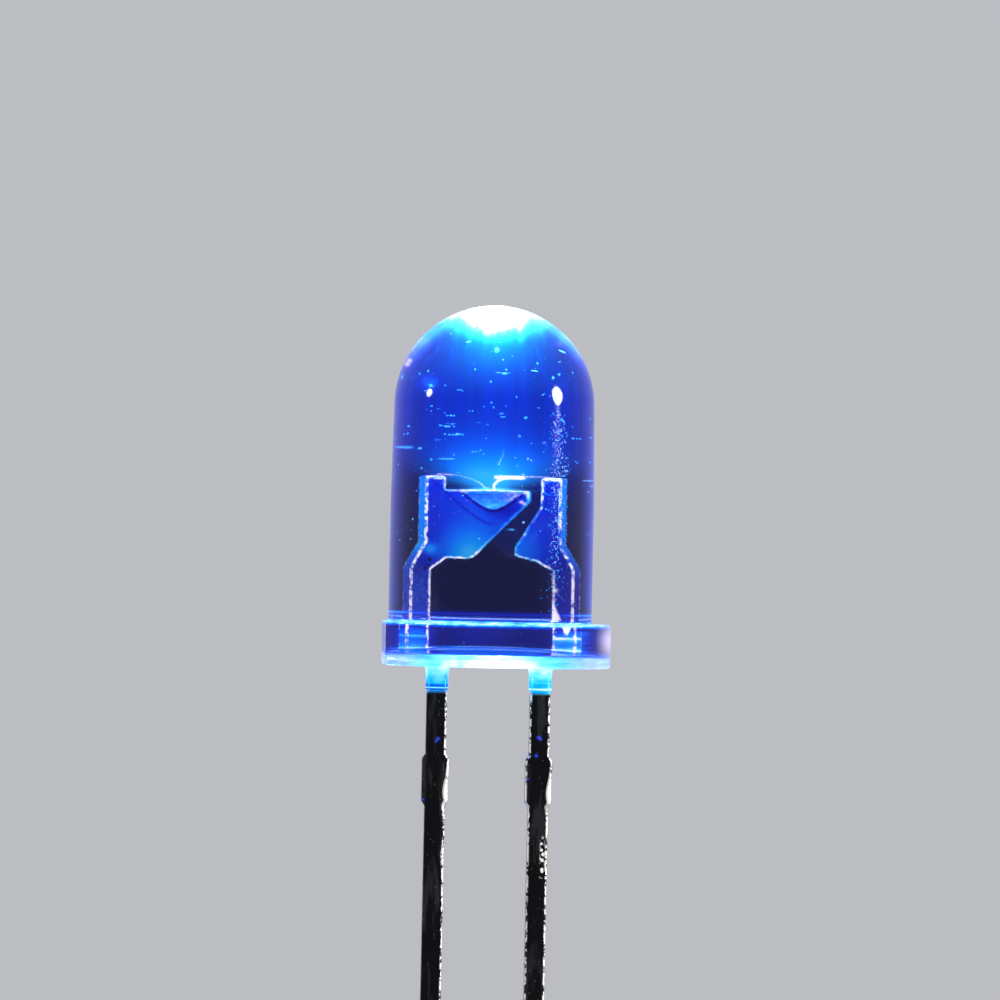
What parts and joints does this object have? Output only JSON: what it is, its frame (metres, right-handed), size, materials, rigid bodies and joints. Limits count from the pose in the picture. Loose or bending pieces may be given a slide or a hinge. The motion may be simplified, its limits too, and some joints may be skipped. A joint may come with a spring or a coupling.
{
  "type": "through hole led",
  "caption": "Light-emitting diode in a clear domed lens: a lit die in a reflector cup between stamped posts, a flange with a flat for polarity, and long straight leads.",
  "frame": {"origin": "on the lens axis at the rim of the flange's underside, midway between the leads", "axes": "+Z along the lens axis towards the dome; +X from the cathode to the anode; the leads run down -Z in the XZ plane"},
  "size_m": [0.0056, 0.006, 0.0358],
  "materials": {
    "clear_epoxy": "polished, water clear",
    "tinned_lead": "silver and tin plated, bright, sheared edges",
    "lit_die": "lit sapphire chip",
    "die_glue": "cured clear adhesive",
    "gold_wire": "bright drawn gold"
  },
  "bodies": {
    "root": {"epoxy_lens": "clear_epoxy", "cathode_frame": "tinned_lead", "anode_frame": "tinned_lead", "led_die": "lit_die", "die_attach": "die_glue", "cathode_bond_wire": "gold_wire", "anode_bond_wire": "gold_wire"}
  },
  "joints": []
}
